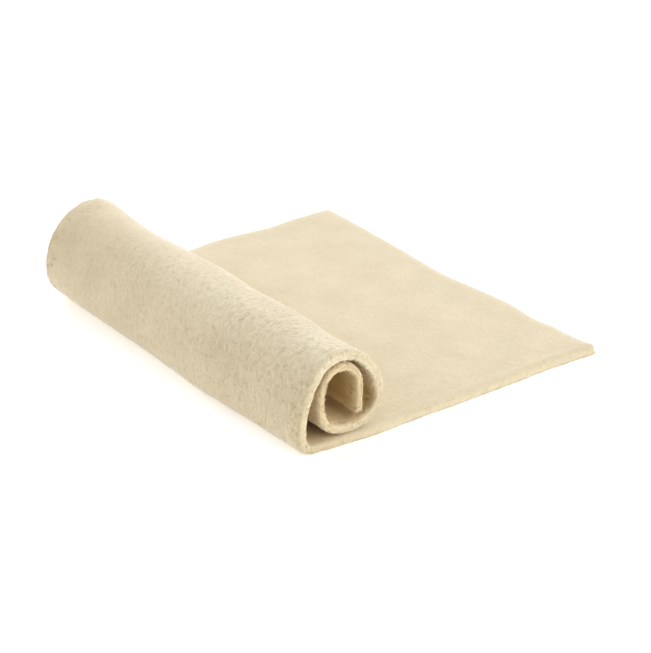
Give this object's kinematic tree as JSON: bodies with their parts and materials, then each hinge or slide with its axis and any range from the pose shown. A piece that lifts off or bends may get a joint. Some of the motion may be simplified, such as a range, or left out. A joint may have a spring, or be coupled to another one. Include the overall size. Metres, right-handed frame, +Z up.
{
  "type": "roll of prefelt",
  "caption": "Cut sheet of soft cream wool prefelt, rolled up from one end round an open hollow and left part unrolled, lying flat on a surface.",
  "frame": {"origin": "centre of the part's footprint, on the surface that it lies on", "axes": "+X from the roll to the sheet's flat free end, +Y along the roll from the end that shows its turns to the far end, +Z up"},
  "size_m": [0.1694, 0.2016, 0.0449],
  "materials": {
    "wool_prefelt": "matt natural wool prefelt, needled and unpressed, with a short fibre fuzz"
  },
  "bodies": {
    "root": {"prefelt_sheet": "wool_prefelt"}
  },
  "joints": []
}
